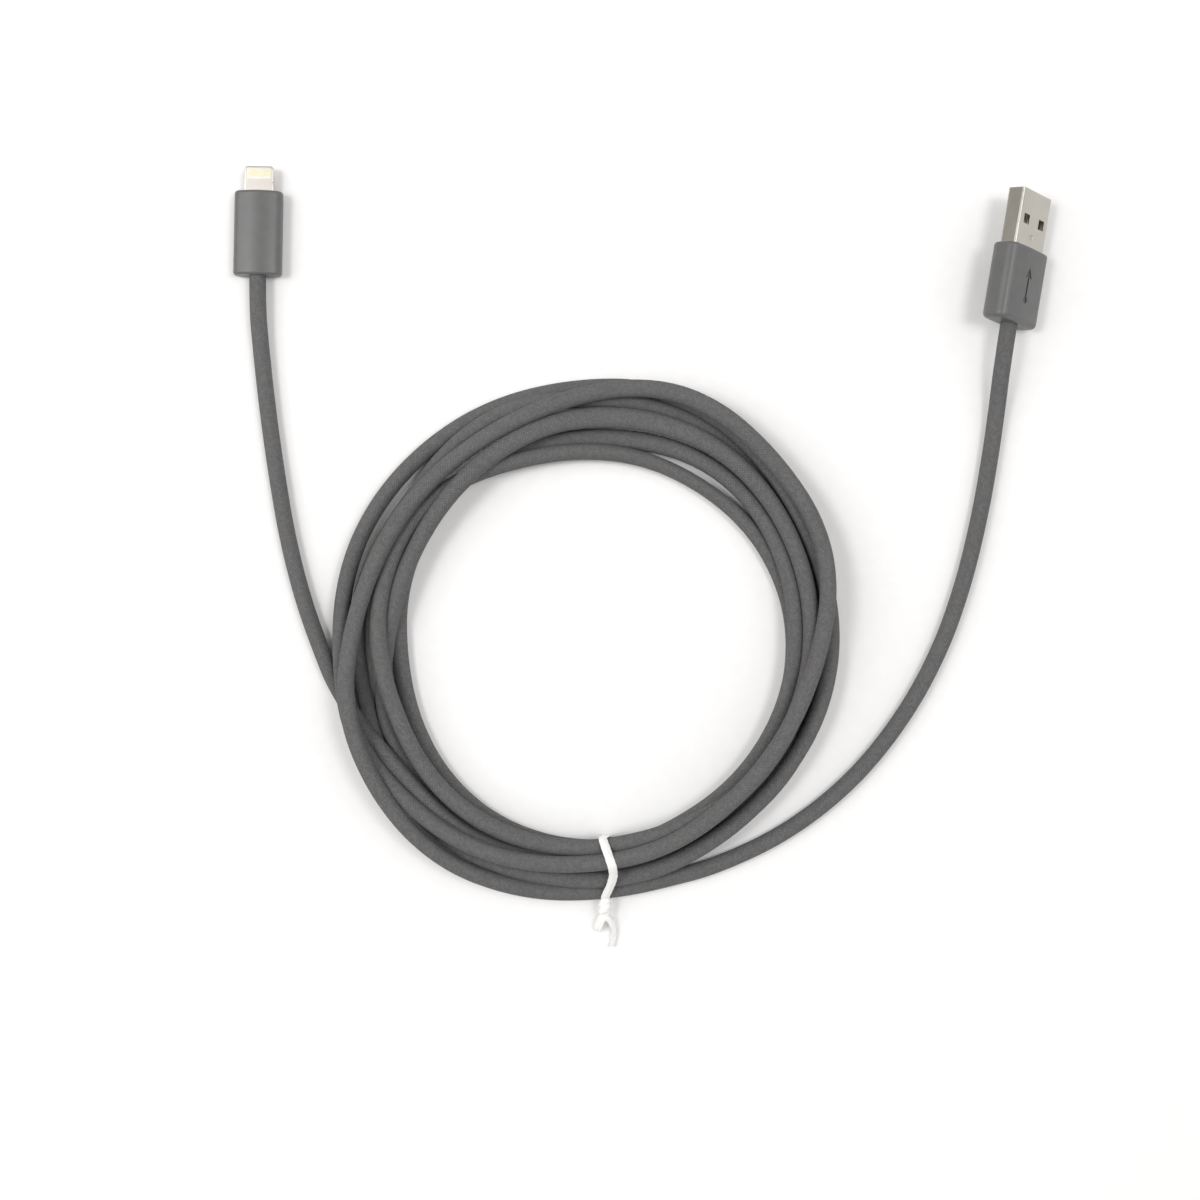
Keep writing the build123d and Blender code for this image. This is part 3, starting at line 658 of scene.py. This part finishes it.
def braided(name):
    """Fine yarns laid both ways round the cord, over and under each other, from the tube's own map."""
    made, shader = shader_of(name, BRAID_DARK, 0.82)
    tree = made.node_tree
    lay = tree.nodes.new("ShaderNodeUVMap")
    lay.uv_map = "lay"
    split = tree.nodes.new("ShaderNodeSeparateXYZ")
    tree.links.new(lay.outputs["UV"], split.inputs["Vector"])
    around = sums(tree, "MULTIPLY", split.outputs["X"], BRAID_YARNS)
    one_way = sums(tree, "MULTIPLY_ADD", split.outputs["Y"], BRAID_PER_METRE, around)
    other_way = sums(tree, "MULTIPLY_ADD", split.outputs["Y"], -BRAID_PER_METRE, around)
    first = sums(tree, "FRACT", one_way, None)
    second = sums(tree, "FRACT", other_way, None)
    first_number = sums(tree, "FLOOR", one_way, None)
    second_number = sums(tree, "FLOOR", other_way, None)
    over = sums(tree, "FLOORED_MODULO", sums(tree, "ADD", first_number, second_number), 2.0)
    under = sums(tree, "SUBTRACT", 1.0, over)
    crown = sums(tree, "SINE", sums(tree, "MULTIPLY", first, pi), None)
    other_crown = sums(tree, "SINE", sums(tree, "MULTIPLY", second, pi), None)
    both = sums(tree, "MULTIPLY", crown, other_crown)
    yarn = sums(tree, "ADD", sums(tree, "MULTIPLY", crown, over), sums(tree, "MULTIPLY", other_crown, under))
    place = sums(tree, "ADD", sums(tree, "MULTIPLY", first, over), sums(tree, "MULTIPLY", second, under))
    filaments = sums(tree, "SINE", sums(tree, "MULTIPLY", place, 2 * pi * YARN_FILAMENTS), None)
    height = sums(tree, "MULTIPLY_ADD", filaments, 0.10, sums(tree, "MULTIPLY_ADD", both, 0.5, yarn))
    combined = tree.nodes.new("ShaderNodeCombineXYZ")
    for socket, term in zip(combined.inputs, (first_number, second_number, over)):
        tree.links.new(term, socket)
    chance = tree.nodes.new("ShaderNodeTexWhiteNoise")
    tree.links.new(combined.outputs[0], chance.inputs["Vector"])
    # Each yarn's own random tone, plus painted shade: the colour is darker where the yarns sink, between
    # them and where one dips under the other
    tone = sums(tree, "MULTIPLY_ADD", chance.outputs["Value"], 0.30, sums(tree, "MULTIPLY", height, 0.35))
    tone = sums(tree, "MULTIPLY_ADD", noise(tree, 20.0, 2.0), 0.15, tone)
    tree.links.new(ramp(tree, tone, BRAID_DARK, BRAID_LIGHT, 0.15, 1.05), shader.inputs["Base Color"])
    shader.inputs["Specular IOR Level"].default_value = 0.25
    shader.inputs["Sheen Weight"].default_value = 0.04
    shader.inputs["Sheen Roughness"].default_value = 0.5
    raised(tree, shader, height, 0.10, 0.55)
    return made


# Darker tone, lighter tone, roughness, grain size and depth in mm, and how metallic
GRAINED = {
    "gold_contact": ((0.86, 0.76, 0.50), (0.95, 0.87, 0.60), 0.30, 0.2, 0.003, 1.0),
    "solder": ((0.50, 0.50, 0.49), (0.66, 0.66, 0.64), 0.38, 0.3, 0.02, 1.0),
    "collar_brass": ((0.52, 0.38, 0.16), (0.64, 0.48, 0.22), 0.36, 0.4, 0.006, 1.0),
    "board_green": ((0.010, 0.075, 0.028), (0.016, 0.11, 0.045), 0.35, 0.25, 0.01, 0.0),
    "chip_black": ((0.012, 0.012, 0.013), (0.022, 0.022, 0.024), 0.55, 0.12, 0.01, 0.0),
    "white_plastic": ((0.74, 0.72, 0.66), (0.82, 0.80, 0.75), 0.38, 0.15, 0.006, 0.0),
    "mould_plastic": ((0.50, 0.49, 0.46), (0.60, 0.59, 0.55), 0.5, 0.2, 0.02, 0.0),
    "tie_steel": ((0.36, 0.35, 0.34), (0.50, 0.49, 0.48), 0.4, 0.2, 0.01, 1.0),
}
WIRES = {
    "wire_red": (0.55, 0.03, 0.03),
    "wire_white": (0.72, 0.71, 0.68),
    "wire_green": (0.04, 0.32, 0.09),
    "wire_black": (0.018, 0.018, 0.018),
}
FINISHES = {
    "housing_plastic": housing_plastic("housing_plastic"),
    "plug_steel": steel("plug_steel", (0.51, 0.495, 0.45), (0.54, 0.525, 0.48)),
    "tie_plastic": tie_plastic("tie_plastic"),
}
for name, (low, high, roughness, size, depth, metallic) in GRAINED.items():
    FINISHES[name] = grained(name, low, high, roughness, size, depth, metallic)
for name, high in WIRES.items():
    FINISHES[name] = grained(name, tuple(WIRE_SHADE * part for part in high), high, 0.4, 0.2, 0.008)
for subpart in frame["record"]["subparts"]:
    slots = frame["nodes"][subpart["node"]].data.materials
    if subpart["material_slot"] in FINISHES:
        slots.clear()
        slots.append(FINISHES[subpart["material_slot"]])
# The tab's frame gets a lighter copy of the plug steel: part steel colour, part painted reflection of the
# lamps on its flat, upward-facing face
frame["nodes"]["tab_frame"].data.materials[0] = steel("tab_steel_painted_reflection", (0.71, 0.67, 0.63), (0.75, 0.71, 0.67))
frame["nodes"]["usb_housing"].data.materials[0] = plastic_with_painted_recess_shade("housing_plastic_recess_shade")
cord.data.materials.append(braided("braid"))
tie.data.materials.append(FINISHES["tie_plastic"])
floor.data.materials.append(grained("floor", (0.86, 0.86, 0.865), (0.88, 0.88, 0.885), 0.9, 3.0, 0.01))
